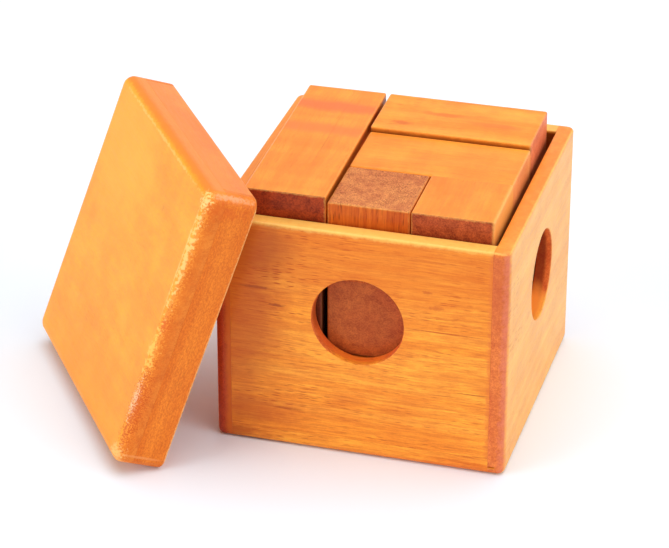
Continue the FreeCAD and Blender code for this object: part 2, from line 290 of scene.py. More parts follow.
def make_soft_spot():
    """A spot with a soft and ragged border: 1 in its middle and 0 outside its reach."""
    tree, taken, given = new_group(
        "soft_spot", {"vector": ("Place", "Middle", "Reach"), "value": ("Breaks", "Fineness")},
        {"value": ("Mask",)},
    )
    arm = vector_sums(tree, "SUBTRACT", taken["Place"], taken["Middle"])
    far = vector_sums(tree, "LENGTH", vector_sums(tree, "DIVIDE", arm, taken["Reach"]))
    fine = taken["Fineness"]
    scale = add_node(tree, "CombineXYZ", {"X": fine, "Y": fine, "Z": fine}).outputs[0]
    rub = cloud(tree, taken["Place"], scale, 3.0, 0.6).outputs["Fac"]
    uneven = sums(tree, "MULTIPLY", sums(tree, "SUBTRACT", rub, 0.5), taken["Breaks"])
    tree.links.new(eased(tree, sums(tree, "ADD", far, uneven), 1.0, 0.3), given["Mask"])
    return tree


COAT_ROUGHNESS = 0.15
STAINED_WOOD = make_stained_wood()
WEAR_AND_INSIDE_SHADE = make_wear_and_inside_shade()
SOFT_SPOT = make_soft_spot()


def stain(red, green, blue):
    """A colour as a shader takes it, from its red, green and blue as seen, 0 to 255."""
    parts = [part / 255 for part in (red, green, blue)]
    linear = [part / 12.92 if part <= 0.04045 else ((part + 0.055) / 1.055) ** 2.4 for part in parts]
    return (*linear, 1.0)


def grain_turn(turn, grain):
    """The rotation to a block's own axes, with X along its grain."""
    axes = [turn.col[(grain + step) % 3] for step in range(3)]
    return Matrix(axes).transposed()


def millimetres_from(tree, middle, turn):
    """Where a point lies in millimetres from a middle, along turned axes."""
    points = add_node(tree, "TexCoord").outputs["Object"]
    return add_node(tree, "Mapping", {
        "Vector": points, "Location": middle, "Rotation": turn.to_euler(), "Scale": (MM, MM, MM),
    }, vector_type="TEXTURE").outputs[0]


def spot(tree, place, middle, reach, breaks=0.6, fineness=0.45):
    """The mask of one soft spot."""
    return add_node(tree, "Group", {
        "Place": place, "Middle": middle, "Reach": reach, "Breaks": breaks, "Fineness": fineness,
    }, node_tree=SOFT_SPOT).outputs["Mask"]


def lacquered(name, low, high, turn, grain, seed, outside, look):
    """Clear satin lacquer on a stained block between two corners, with its grain along one axis. Wear and
    marks are placed in millimetres from the middle of the outside that the block is a part of. Some of the
    marks are painted shade and some painted light, and the darker colour in holes and on inner faces is
    painted shade."""
    material = bpy.data.materials.new(name)
    material.use_nodes = True
    tree = material.node_tree
    shader = tree.nodes["Principled BSDF"]
    own_turn = grain_turn(turn, grain)
    place = millimetres_from(tree, turn @ ((low + high) / 2), own_turn)
    around = millimetres_from(tree, turn @ ((outside[0] + outside[1]) / 2), turn)
    facing = add_node(tree, "TexCoord").outputs["Normal"]
    lengthways = sums(tree, "ABSOLUTE", vector_sums(tree, "DOT_PRODUCT", facing, own_turn.col[0]))
    pores = look["Pores"]
    for middle, reach, amount in look.get("pore_spots", ()):
        pores = sums(tree, "MULTIPLY_ADD", spot(tree, around, middle, reach), amount, pores)
    wood = add_node(tree, "Group", {"Place": place, "Seed": seed, "Pores": pores}, node_tree=STAINED_WOOD)
    tree.links.new(eased(tree, lengthways, 0.4, 0.7), wood.inputs["End"])
    for key in ("Light", "Dark", "Pore", "End Light", "End Dark",
                "Band Width", "Wave", "Streak", "Fibre", "Cross", "Blotch", "Speckle"):
        wood.inputs[key].default_value = look[key]
    wear_and_shade_masks = add_node(tree, "Group", {
        "Place": around, "Half": (outside[1] - outside[0]) / 2 / MM, "Width": look["Wear Width"],
        "Breaks": look["Wear Breaks"], "Fineness": look["Wear Fineness"],
    }, node_tree=WEAR_AND_INSIDE_SHADE).outputs
    colour = wood.outputs["Colour"]
    # Painted shade: holes and inner faces take the look's darker Inside colour, by the Inside mask.
    if "Inside" in look:
        share = sums(tree, "MULTIPLY", wear_and_shade_masks["Inside"], look["Inside Share"])
        colour = mixed(tree, share, colour, look["Inside"])
    for mark_colour, amount, *shape in look.get("marks", ()):
        share = sums(tree, "MULTIPLY", spot(tree, around, *shape), amount)
        colour = mixed(tree, share, colour, mark_colour)
    share = sums(tree, "MULTIPLY", wear_and_shade_masks["Mask"], look["Wear"])
    colour = mixed(tree, share, colour, look["Worn"])
    tree.links.new(colour, shader.inputs["Base Color"])
    tree.links.new(wood.outputs["Roughness"], shader.inputs["Roughness"])
    relief = {"Strength": 0.25, "Distance": 0.08 * MM}
    bump = add_node(tree, "Bump", {"Height": wood.outputs["Height"], **relief})
    tree.links.new(bump.outputs[0], shader.inputs["Normal"])
    shader.inputs["Specular IOR Level"].default_value = look["Shine"]
    shader.inputs["Coat Weight"].default_value = look["Shine"] / 2
    shader.inputs["Coat Roughness"].default_value = COAT_ROUGHNESS
    return material


BOX_LOOK = {
    "Light": stain(251, 157, 52), "Dark": stain(245, 142, 40), "Pore": stain(186, 64, 16),
    "End Light": stain(240, 128, 62), "End Dark": stain(204, 86, 36), "Worn": stain(254, 204, 108),
    # Inside is painted shade: a darker colour on the inner faces and in the holes.
    "Inside": stain(204, 70, 16), "Inside Share": 0.4,
    "Band Width": 2.4, "Wave": 2.0, "Streak": 0.15, "Fibre": 0.14, "Cross": 0.0, "Blotch": 0.08,
    "Speckle": 0.07, "Pores": 0.5, "Shine": 0.2,
    "Wear": 0.6, "Wear Width": 0.6, "Wear Breaks": 1.4, "Wear Fineness": 1.0,
}
PALE_RIM = (stain(254, 200, 100), 0.85, (0.0, 0.0, 30.4), (120.0, 120.0, 1.9), 0.7, 0.7)
BOTTOM_LOOK = {
    **BOX_LOOK, "Light": stain(250, 154, 48), "Dark": stain(236, 124, 34), "Pores": 0.6, "Blotch": 0.12,
    "marks": (
        # Painted shadow: these two dark marks along the left part of the front foot stand for the contact
        # shadow under it.
        (stain(186, 74, 20), 0.6, (-34.0, -36.0, -28.0), (12.0, 4.0, 3.0), 0.9, 0.4),
        (stain(160, 60, 18), 0.7, (-24.0, -36.0, -30.6), (16.0, 6.0, 1.5), 0.5, 0.3),
    ),
}
GRID = 2.0 * MM
SANDED = 0.06 * MM
box_low, box_high = span("left_wall", SQUARE)
box_high.x = -box_low.x
BOX_OUTSIDE = (box_low, box_high)

low, high = span("bottom_board", SQUARE)
board = sawn_block(low, high)
foot = sharp_edges(board, lambda a, b: max(a.z, b.z) < low.z + TOUCH and abs(a.y - b.y) < TOUCH)
round_over(board, foot, FOOT_RADIUS, steps=4)
round_over(board, sharp_edges(board), GLUE_LINE, steps=1)
cut_grid(board, low, high, GRID, margin=FOOT_RADIUS * 1.2)
hand_sand(board, SANDED)
finish = lacquered("bottom_board_finish", low, high, SQUARE, X, 1.0, BOX_OUTSIDE, BOTTOM_LOOK)
finished_piece("bottom_board", board, SQUARE, finish, "box")

# Side walls. Two boards of the box's full depth and height, grain running front to back, so that their
# end grain shows at the front corners. Each has a drilled finger hole, and takes the rounded corners.
# The foot of the right wall's front end has a small chip.
CORNER_RADIUS = 2.0 * MM
RIM_EASE = 0.6 * MM
INNER_EASE = 0.3 * MM
HOLE_EASE = 0.35 * MM
CHIP_LOW = Vector((32.1, -36.0, 1.8)) * MM
CHIP_HIGH = Vector((33.7, -35.2, 2.4)) * MM
# Painted shade: the side and back walls' inner faces and finger holes take a dark brown, for the shade in
# the gaps beside the puzzle.
PAINTED_SHADE_INSIDE = {"Inside": stain(120, 34, 10), "Inside Share": 0.8}
LEFT_LOOK = {
    # End grain darker than the right wall's: partly its own redder colour, partly the lid's shadow painted
    # in.
    **BOX_LOOK, **PAINTED_SHADE_INSIDE, "End Light": stain(206, 76, 32), "End Dark": stain(164, 50, 18),
    "marks": (
        (stain(216, 104, 28), 0.95, (-31.8, -36.0, 0.0), (2.3, 4.0, 200.0), 0.5, 0.4),
        (stain(246, 150, 56), 0.7, (0.0, 0.0, 30.4), (120.0, 120.0, 2.2), 0.9, 0.5),
    ),
}
RIGHT_LOOK = {
    # The right wall is paler than the other boards: painted light, for the light that falls on the box's
    # right side.
    **BOX_LOOK, **PAINTED_SHADE_INSIDE, "Light": stain(250, 180, 80), "Dark": stain(248, 168, 64), "Pores": 0.2,
    "Fibre": 0.06, "Streak": 0.05, "End Light": stain(248, 142, 66), "End Dark": stain(200, 80, 34),
    "pore_spots": (((36.0, -30.0, 0.0), (8.0, 12.0, 40.0), 0.3),),
    "marks": (
        (stain(200, 88, 44), 0.5, (34.0, -36.0, 20.0), (5.0, 3.0, 15.0), 1.2, 0.6),
        # Pinkish band down the rounded front-right corner: partly the end grain's own redder tone, partly
        # a painted highlight.
        (stain(236, 130, 102), 0.6, (36.2, -36.2, 0.0), (2.4, 2.4, 200.0), 1.2, 0.8),
        # Painted light: a bright orange patch on the lower part of the finger hole, over its painted
        # shade.
        (stain(255, 156, 60), 0.9, (33.0, 4.0, -5.0), (3.4, 10.0, 8.0), 0.3, 0.3),
        (stain(244, 138, 46), 0.95, (0.0, 0.0, 30.8), (120.0, 120.0, 2.4), 0.9, 0.5),
    ),
}


def drill(wall, axis, middle, radius):
    """Drill the finger hole through a wall along an axis, and ease its two edges."""
    room = radius * 1.3
    border = 1.0 * MM
    level = 0.99
    beside = [other for other in range(3) if other != axis]
    covers, rings = [], []
    wall.normal_update()
    for facing in (-1, 1):
        square = [
            face for face in wall.faces
            if face.normal[axis] * facing > level
            and all(abs(v.co[other] - middle[other]) < room for v in face.verts for other in beside)
        ]
        cover = bmesh.ops.dissolve_faces(wall, faces=square)["region"][0]
        bmesh.ops.inset_individual(wall, faces=[cover], thickness=border)
        for vertex in cover.verts:
            arm = vertex.co - middle
            arm[axis] = 0.0
            reach = middle + arm.normalized() * radius
            reach[axis] = vertex.co[axis]
            vertex.co = reach
        covers.append(cover)
        rings += cover.edges
    bmesh.ops.delete(wall, geom=covers, context="FACES_ONLY")
    bmesh.ops.bridge_loops(wall, edges=rings)
    round_over(wall, rings, HOLE_EASE, steps=3)


def hole_in(node, axis):
    """Middle and radius of the finger hole in a wall, from the ring of points that its node has there."""
    low, high = span(node, SQUARE)
    clear = 10 * MM
    beside = [other for other in range(3) if other != axis]
    points = [vertex.co for vertex in frame["nodes"][node].data.vertices]
    inside = [
        point for point in points
        if all(low[other] + clear < point[other] < high[other] - clear for other in beside)
    ]
    lowest = Vector([min(point[k] for point in inside) for k in range(3)])
    highest = Vector([max(point[k] for point in inside) for k in range(3)])
    return (lowest + highest) / 2, (highest.z - lowest.z) / 2


def chip_out(wall, low, high):
    """Push in the part of a front end that lies between two corners."""
    for axis in (X, Z):
        cut_across(wall, axis, low[axis])
        cut_across(wall, axis, high[axis])
    wall.normal_update()
    chipped = [
        face for face in wall.faces
        if face.normal.y < -0.9
        and all(low[axis] < face.calc_center_median()[axis] < high[axis] for axis in (X, Z))
    ]
    pushed = bmesh.ops.extrude_face_region(wall, geom=chipped)["geom"]
    bmesh.ops.delete(wall, geom=chipped, context="FACES_ONLY")
    points = [part for part in pushed if isinstance(part, bmesh.types.BMVert)]
    bmesh.ops.translate(wall, vec=(0.0, high.y - low.y, 0.0), verts=points)


_, front_high = span("front_wall", SQUARE)
back_low, _ = span("back_wall", SQUARE)
for node, seed, look in (("left_wall", 2.0, LEFT_LOOK), ("right_wall", 3.0, RIGHT_LOOK)):
    low, high = span(node, SQUARE)
    inner = high.x if node == "left_wall" else low.x
    wall = sawn_block(low, high)

    def inside(a, b):
        return abs(a.x - inner) < TOUCH and abs(b.x - inner) < TOUCH

    for inside_face in (front_high.y, back_low.y):
        cut_across(wall, Y, inside_face)
    corners = sharp_edges(wall, lambda a, b: abs(a.z - b.z) > MM and abs(a.x - inner) > TOUCH)
    round_over(wall, corners, CORNER_RADIUS, steps=6)
    foot = sharp_edges(wall, lambda a, b: max(a.z, b.z) < low.z + TOUCH and not inside(a, b))
    round_over(wall, foot, FOOT_RADIUS, steps=4)
    rim = sharp_edges(wall, lambda a, b: min(a.z, b.z) > high.z - TOUCH and not inside(a, b))
    round_over(wall, rim, RIM_EASE, steps=4)
    inner_rim = sharp_edges(wall, lambda a, b: min(a.z, b.z) > high.z - TOUCH
                            and max(abs(a.y), abs(b.y)) < back_low.y + TOUCH)
    round_over(wall, inner_rim, INNER_EASE, steps=2)
    round_over(wall, sharp_edges(wall), GLUE_LINE, steps=1)
    cut_grid(wall, low, high, GRID, margin=CORNER_RADIUS * 1.05)
    drill(wall, X, *hole_in(node, X))
    if node == "right_wall":
        chip_out(wall, CHIP_LOW, CHIP_HIGH)
    hand_sand(wall, SANDED)
    finish = lacquered(f"{node}_finish", low, high, SQUARE, Y, seed, BOX_OUTSIDE, look)
    finished_piece(node, wall, SQUARE, finish, "box")

# Front and back walls. Boards of lively horizontal grain, glued between the side walls on top of the
# bottom board, with a drilled finger hole each. Only their rims are eased, on both sides.
FRONT_LOOK = {
    # Inside is painted shade: a darker, redder colour in the finger hole and on the inner face.
    **BOX_LOOK, "Inside": stain(255, 116, 44), "Inside Share": 0.5, "Pores": 0.62, "Streak": 0.18,
    "pore_spots": (
        ((0.0, -36.0, 22.0), (60.0, 9.0, 11.0), 0.35), ((-24.0, -36.0, 16.0), (22.0, 9.0, 16.0), 0.6),
        ((-26.0, -36.0, -20.0), (20.0, 9.0, 8.0), 0.3),
    ),
    "marks": (
        # Painted shade: a broad darker band over the upper part of the front.
        (stain(226, 108, 22), 0.5, (0.0, -36.0, 23.0), (90.0, 9.0, 15.0), 0.5, 0.15),
        # The next three marks are the lid's painted shadow over the left part of the front, with some
        # darker grain there.
        (stain(208, 90, 20), 0.6, (-31.0, -36.0, 6.0), (17.0, 9.0, 32.0), 0.5, 0.15),
        (stain(176, 74, 18), 0.3, (-24.0, -36.0, 23.0), (13.0, 9.0, 9.0), 0.8, 0.2),
        (stain(206, 92, 24), 0.6, (-27.0, -36.0, -21.0), (16.0, 9.0, 6.0), 0.8, 0.2),
        (stain(150, 48, 14), 0.7, (-20.5, -36.0, 8.4), (2.6, 4.0, 0.5), 1.2, 0.9),
        (stain(160, 54, 14), 0.6, (-26.0, -36.0, 12.6), (6.0, 4.0, 0.5), 1.0, 0.9),
        (stain(196, 80, 28), 0.5, (16.5, -36.0, 17.2), (1.6, 4.0, 0.7), 1.4, 1.2),
        (stain(206, 88, 30), 0.5, (18.5, -36.0, 13.4), (2.4, 4.0, 0.8), 1.4, 1.2),
        (stain(164, 58, 14), 0.7, (28.0, -36.0, -8.6), (5.5, 4.0, 0.22), 0.5, 0.9),
        (stain(190, 72, 18), 0.6, (21.0, -36.0, 7.0), (12.0, 4.0, 0.25), 0.6, 0.9),
        (stain(170, 64, 18), 0.6, (-18.0, -36.0, -19.6), (5.0, 4.0, 0.5), 0.8, 0.6),
        # Painted shade on the left side of the finger hole's bore.
        (stain(176, 72, 26), 0.7, (-11.8, -33.4, 7.5), (3.0, 2.5, 8.0), 0.3, 0.3),
        (stain(228, 112, 46), 0.6, (32.4, -36.0, 0.0), (1.7, 4.0, 200.0), 1.8, 1.0),
        PALE_RIM,
    ),
}
THIN_PALE_RIM = (stain(254, 200, 100), 0.85, (0.0, 0.0, 30.4), (120.0, 120.0, 1.2), 0.4, 0.7)
BACK_LOOK = {**BOX_LOOK, **PAINTED_SHADE_INSIDE, "marks": (THIN_PALE_RIM,)}
for node, seed, look in (("front_wall", 4.0, FRONT_LOOK), ("back_wall", 5.0, BACK_LOOK)):
    low, high = span(node, SQUARE)
    wall = sawn_block(low, high)
    outer_y = low.y if node == "front_wall" else high.y
    rim = sharp_edges(wall, lambda a, b: min(a.z, b.z) > high.z - TOUCH and abs(a.y - b.y) < TOUCH)
    outer_rim = [edge for edge in rim if abs(edge.verts[0].co.y - outer_y) < TOUCH]
    round_over(wall, outer_rim, RIM_EASE, steps=4)
    inner_rim = sharp_edges(wall, lambda a, b: min(a.z, b.z) > high.z - TOUCH and abs(a.y - b.y) < TOUCH)
    round_over(wall, inner_rim, INNER_EASE, steps=2)
    round_over(wall, sharp_edges(wall), GLUE_LINE, steps=1)
    cut_grid(wall, low, high, GRID, margin=RIM_EASE * 1.5)
    drill(wall, Y, *hole_in(node, Y))
    hand_sand(wall, SANDED)
    finish = lacquered(f"{node}_finish", low, high, SQUARE, X, seed, BOX_OUTSIDE, look)
    finished_piece(node, wall, SQUARE, finish, "box")

# Puzzle. Seven pieces of cubes, each glued up from bars and single cubes of hardwood, sanded flush at
# the glue lines and eased on every free edge. They lie loose in the box, turned a little to the left.
# Thin dark lines along some sides, beside a neighbour and at the level of the box's rim, are painted shade
# of the gaps there.
PUZZLE_TURN = 0.7
TEE_TURN = 1.3
CUBE_EASE = 0.5 * MM
PITCH = 20.2 * MM
PUZZLE_LOOK = {
    "Light": stain(249, 153, 55), "Dark": stain(246, 142, 45), "Pore": stain(160, 62, 18),
    "End Light": stain(200, 92, 40), "End Dark": stain(140, 48, 16), "Worn": stain(252, 190, 100),
    "Band Width": 5.0, "Wave": 4.0, "Streak": 0.04, "Fibre": 0.04, "Cross": 0.04, "Blotch": 0.07,
    "Speckle": 0.05, "Pores": 0.2, "Shine": 0.15,
    "Wear": 0.3, "Wear Width": 0.6, "Wear Breaks": 2.0, "Wear Fineness": 1.4,
}
# Painted shade of the gaps between pieces and at the box's rim, laid on as thin dark lines.
PAINTED_GAP_SHADE = stain(110, 42, 14)
OWN_LOOKS = {
    "tee_bar": {
        "Light": stain(249, 149, 53), "Dark": stain(246, 137, 45),
        "End Light": stain(190, 74, 30), "End Dark": stain(104, 28, 8), "Cross": 0.06,
        "marks": (
            (stain(245, 112, 58), 0.8, (0.0, 19.0, 20.0), (30.0, 4.2, 8.0), 0.7, 0.18),
            (stain(246, 118, 56), 0.7, (0.0, 6.0, 20.0), (30.0, 4.2, 8.0), 0.7, 0.18),
            (stain(196, 100, 38), 0.3, (2.4, 2.0, 20.0), (0.3, 26.0, 4.0), 0.5, 0.5),
            # Painted shade: a dark line along the top of the right side, for the gap beside its lower
            # neighbours.
            (PAINTED_GAP_SHADE, 0.75, (10.3, 0.0, 19.2), (1.3, 90.0, 1.6), 0.4, 0.4),
        ),
    },
    "zed_upper_bar": {
        "Light": stain(250, 160, 58), "Dark": stain(246, 141, 41), "Blotch": 0.12, "Pores": 0.3,
        # Pale pink end grain: partly its own tone, partly painted light on the right end.
        "End Light": stain(248, 142, 94), "End Dark": stain(214, 100, 58),
        "marks": (
            (stain(222, 104, 34), 0.85, (-13.0, -6.0, 20.0), (3.8, 1.6, 6.0), 0.9, 0.5),
            (stain(230, 112, 38), 0.8, (-4.0, 1.0, 20.0), (8.0, 1.6, 6.0), 0.9, 0.4),
            (stain(232, 118, 40), 0.7, (10.0, -2.0, 20.0), (9.0, 1.8, 6.0), 0.9, 0.4),
            # Painted shade: dark lines at the gap in front of the bar and on the right end at the box's
            # rim.
            (PAINTED_GAP_SHADE, 0.75, (0.0, -10.3, 19.1), (90.0, 1.3, 1.6), 0.4, 0.4),
            (PAINTED_GAP_SHADE, 0.6, (20.2, 0.0, 11.6), (2.0, 90.0, 2.0), 0.6, 0.4),
        ),
    },
    "angle_bar": {
        # Pale end grain: painted light on the right end.
        "End Light": stain(252, 166, 98), "End Dark": stain(236, 134, 70), "Blotch": 0.1,
        # Painted shade: a dark line on the right end at the box's rim.
        "marks": ((PAINTED_GAP_SHADE, 0.6, (20.2, 0.0, 2.0), (2.0, 90.0, 2.0), 0.6, 0.4),),
    },
    "angle_cube": {
        "Light": stain(249, 145, 52), "Dark": stain(246, 135, 44), "Blotch": 0.1,
        "End Light": stain(206, 96, 46), "End Dark": stain(118, 36, 14),
        "marks": (
            # Painted light: the right face made paler.
            (stain(253, 178, 92), 0.75, (10.4, 0.0, 0.0), (1.4, 90.0, 90.0), 0.3, 0.3),
            # Painted shade: a dark line on the right face at the box's rim.
            (PAINTED_GAP_SHADE, 0.6, (10.2, 0.0, 1.9), (2.0, 90.0, 1.9), 0.6, 0.4),
        ),
    },
    "left_twist_top_cube": {
        "Light": stain(208, 98, 27), "Dark": stain(190, 80, 20), "Band Width": 1.0, "Fibre": 0.14,
        "Blotch": 0.14, "Pores": 0.75, "Pore": stain(112, 44, 10), "Wear": 0.2,
        "End Light": stain(232, 146, 78), "End Dark": stain(168, 76, 40),
    },
    "left_twist_bar": {
        # Dark brown side grain: painted shade for the gaps beside the bar in the finger hole.
        "Light": stain(120, 46, 16), "Dark": stain(100, 36, 12), "Blotch": 0.14, "Wear": 0.05,
        "End Light": stain(204, 102, 44), "End Dark": stain(150, 60, 24),
    },
    "ell_cube": {
        # Painted shade: the whole cube is dark brown, for the shade it lies in behind the finger hole.
        "Light": stain(96, 36, 14), "Dark": stain(80, 28, 10), "Wear": 0.05,
        "End Light": stain(130, 54, 22), "End Dark": stain(90, 32, 12),
    },
}
PUZZLE_PIECES = {
    "right_twist": (("bar", X, (1, 2, 0), (2, 2, 0)), ("side_cube", X, (1, 1, 0), (1, 1, 0)),
                    ("top_cube", Y, (2, 2, 1), (2, 2, 1))),
    "ell": (("bar", Y, (0, 0, 0), (0, 2, 0)), ("cube", Y, (0, 0, 1), (0, 0, 1))),
    "tripod": (("bar", X, (1, 0, 0), (2, 0, 0)), ("side_cube", X, (2, 1, 0), (2, 1, 0)),
               ("top_cube", X, (2, 0, 1), (2, 0, 1))),
    "zed": (("lower_bar", X, (0, 2, 1), (1, 2, 1)), ("upper_bar", X, (1, 2, 2), (2, 2, 2))),
    "left_twist": (("bar", Y, (1, 0, 1), (1, 1, 1)), ("side_cube", Y, (2, 1, 1), (2, 1, 1)),
                   ("top_cube", Z, (1, 0, 2), (1, 0, 2))),
    "tee": (("cube", X, (0, 1, 1), (0, 1, 1)), ("bar", Y, (0, 0, 2), (0, 2, 2))),
    "angle": (("bar", X, (1, 1, 2), (2, 1, 2)), ("cube", Y, (2, 0, 2), (2, 0, 2))),
}


def cells_of(first, last):
    """The cells of the puzzle that a block fills, from its first and last."""
    ranges = [range(first[axis], last[axis] + 1) for axis in range(3)]
    return {(x, y, z) for x in ranges[0] for y in ranges[1] for z in ranges[2]}


def against_glue(edge, low, first, cells):
    """True if an edge lies against another block of its own piece, to which its block is glued."""
    middle = (edge.verts[0].co + edge.verts[1].co) / 2
    directions = [Vector([round(part) for part in face.normal]) for face in edge.link_faces]
    inside = middle - (directions[0] + directions[1]) * (PITCH / 2)
    cell = [first[axis] + math.floor((inside[axis] - low[axis]) / PITCH) for axis in range(3)]
    return any(tuple(cell[axis] + round(step[axis]) for axis in range(3)) in cells for step in directions)


def handled_outside(low, high, cells, glued):
    """The outside that hands can reach: the block, carried on past the faces that are glued."""
    outside = (low.copy(), high.copy())
    for cell in cells:
        for axis in range(3):
            for end, step in enumerate((-1, 1)):
                beyond = tuple(cell[other] + step * (other == axis) for other in range(3))
                if beyond in glued:
                    reach = (low, high)[end][axis] + step * PITCH
                    outside[end][axis] = reach
    return outside


puzzle_seed = 10.0
for body, blocks in PUZZLE_PIECES.items():
    turn = Matrix.Rotation(math.radians(TEE_TURN if body == "tee" else PUZZLE_TURN), 3, "Z")
    for part, grain, first, last in blocks:
        node = f"{body}_{part}"
        low, high = span(node, turn)
        block = sawn_block(low, high)
        for axis in range(3):
            for step in range(1, last[axis] - first[axis] + 1):
                cut_across(block, axis, low[axis] + step * PITCH)
        glued = set()
        for other, _, other_first, other_last in blocks:
            if other != part:
                glued |= cells_of(other_first, other_last)
        block.normal_update()
        free = [edge for edge in sharp_edges(block) if not against_glue(edge, low, first, glued)]
        round_over(block, free, CUBE_EASE, steps=4)
        round_over(block, sharp_edges(block), GLUE_LINE, steps=1)
        cut_grid(block, low, high, GRID, margin=CUBE_EASE * 1.5)
        hand_sand(block, SANDED)
        outside = handled_outside(low, high, cells_of(first, last), glued)
        look = {**PUZZLE_LOOK, **OWN_LOOKS.get(node, {})}
        finish = lacquered(f"{node}_finish", low, high, turn, grain, puzzle_seed, outside, look)
        finished_piece(node, block, turn, finish, body)
        puzzle_seed += 1.0

# Lid. A flat panel glued on a frame of four rails, rounded all round after glue-up and lacquered. It
# stands on its front edge and leans on the puzzle, open side to the box. Its edges are worn pale.
LID_CORNER_RADIUS = 3.0 * MM
LID_FACE_RADIUS = 2.4 * MM
LID_RIM_EASE = 0.8 * MM
lift_off = next(joint for joint in frame["joints"] if joint["name"] == "lid_lift_off")
outwards = Vector(lift_off["axis"]).normalized()
along = Vector((0.0, 0.0, 1.0)).cross(outwards).normalized()
LID_TURN = Matrix((along, outwards.cross(along), outwards)).transposed()
LID_GLUE_LINE = 0.02 * MM
LID_GRID = 1.0 * MM
SCUFFED = 0.9 * MM
LID_LOOK = {
    "Light": stain(250, 161, 35), "Dark": stain(248, 153, 29), "Pore": stain(190, 92, 26),
    "End Light": stain(244, 142, 50), "End Dark": stain(214, 98, 26), "Worn": stain(255, 214, 130),
    # Inside is painted shade: a darker colour on the lid's inner faces.
    "Inside": stain(196, 96, 34), "Inside Share": 0.5,
    "Band Width": 8.0, "Wave": 5.0, "Streak": 0.02, "Fibre": 0.03, "Cross": 0.02, "Blotch": 0.08,
    "Speckle": 0.07, "Pores": 0.2, "Shine": 0.14,
    "Wear": 0.35, "Wear Width": 0.65, "Wear Breaks": 3.0, "Wear Fineness": 1.6,
    "marks": (
        (stain(246, 140, 26), 0.45, (6.0, -34.0, 6.0), (50.0, 24.0, 6.0), 0.5, 0.05),
        (stain(252, 178, 48), 0.5, (-20.0, 24.0, 6.0), (34.0, 26.0, 6.0), 0.5, 0.05),
        (stain(246, 138, 55), 0.9, (0.0, 37.4, 3.0), (200.0, 3.0, 6.0), 0.3, 0.4),
        (stain(238, 126, 34), 0.75, (0.0, 36.0, 5.2), (200.0, 1.5, 2.0), 1.0, 0.8),
        (stain(236, 118, 28), 0.4, (36.2, 0.0, 4.6), (1.4, 200.0, 2.2), 2.6, 1.2),
        (stain(254, 164, 62), 0.55, (35.2, 0.0, 5.9), (1.5, 200.0, 1.7), 5.0, 2.2),
        (stain(222, 92, 22), 0.5, (36.2, 32.4, 2.0), (1.6, 2.8, 8.0), 2.0, 1.2),
        (stain(206, 72, 22), 0.65, (35.4, -21.0, 5.4), (2.0, 11.0, 2.2), 5.5, 2.4),
        (stain(222, 84, 24), 0.6, (35.4, 1.5, 5.4), (1.4, 2.6, 1.8), 5.0, 1.8),
        (stain(252, 186, 140), 0.55, (35.6, 35.9, 0.0), (1.4, 1.1, 9.0), 1.8, 1.5),
        (stain(255, 208, 120), 0.45, (0.0, 34.3, 6.5), (36.0, 0.45, 1.0), 3.4, 0.9),
        (stain(255, 212, 124), 0.6, (33.5, 18.0, 6.5), (0.4, 20.0, 1.0), 1.8, 1.0),
        (stain(255, 216, 130), 0.7, (34.8, 20.0, 6.2), (1.0, 12.0, 1.3), 7.0, 1.0),
        (stain(255, 216, 136), 0.8, (34.5, 33.8, 6.2), (1.7, 2.2, 1.4), 6.5, 1.4),
        (stain(255, 204, 98), 0.7, (34.6, -6.0, 6.2), (1.2, 6.0, 1.3), 6.0, 1.0),
        (stain(255, 216, 172), 0.6, (34.7, -19.0, 6.1), (0.8, 4.5, 1.0), 7.0, 2.6),
        (stain(255, 200, 120), 0.75, (34.6, -33.6, 5.6), (2.6, 2.6, 2.4), 3.4, 1.6),
        (stain(250, 166, 96), 0.5, (36.3, -33.4, 0.0), (1.4, 0.5, 7.0), 0.8, 0.8),
        (stain(255, 196, 124), 0.8, (36.4, 0.0, -6.5), (0.9, 200.0, 0.8), 1.4, 1.4),
        (stain(214, 128, 30), 0.4, (6.0, 4.0, 6.5), (0.3, 1.6, 1.0), 0.8, 0.8),
        (stain(214, 128, 30), 0.4, (14.0, 22.0, 6.5), (0.8, 1.2, 1.0), 1.6, 1.2),
    ),
}
LID_SIDE_LOOK = {
    **LID_LOOK, "Light": stain(237, 128, 38), "Dark": stain(225, 110, 27), "Fibre": 0.06, "Speckle": 0.22,
    "Blotch": 0.06, "Pores": 0.3,
}
LID_TOP_LOOK = {**LID_LOOK, "Light": stain(248, 142, 62), "Dark": stain(244, 134, 53)}
panel_low, panel_high = span("lid_panel", LID_TURN)
rail_low, _ = span("lid_left_rail", LID_TURN)
LID_OUTSIDE = (Vector((panel_low.x, panel_low.y, rail_low.z)), panel_high)


def at_lid_side(point, axis):
    """True if a point lies on one of the lid's two outsides across an axis."""
    return min(abs(point[axis] - panel_low[axis]), abs(point[axis] - panel_high[axis])) < TOUCH


def scuff(panel, depth):
    """Wear down the rounded edges of the lid's face in small dents, twice as deep on its right side."""
    dent = 1.3 * MM
    rightwards = 0.3
    elsewhere = 0.5
    panel.normal_update()
    for vertex in panel.verts:
        if vertex.co.z > panel_high.z - LID_FACE_RADIUS:
            rounded = 1.0 - max(abs(part) for part in vertex.normal)
            rub = 0.5 + 0.5 * noise.noise(vertex.co / dent)
            share = 1.0 if vertex.co.x > 0 and vertex.normal.x > rightwards else elsewhere
            vertex.co -= vertex.normal * depth * share * rounded * rub


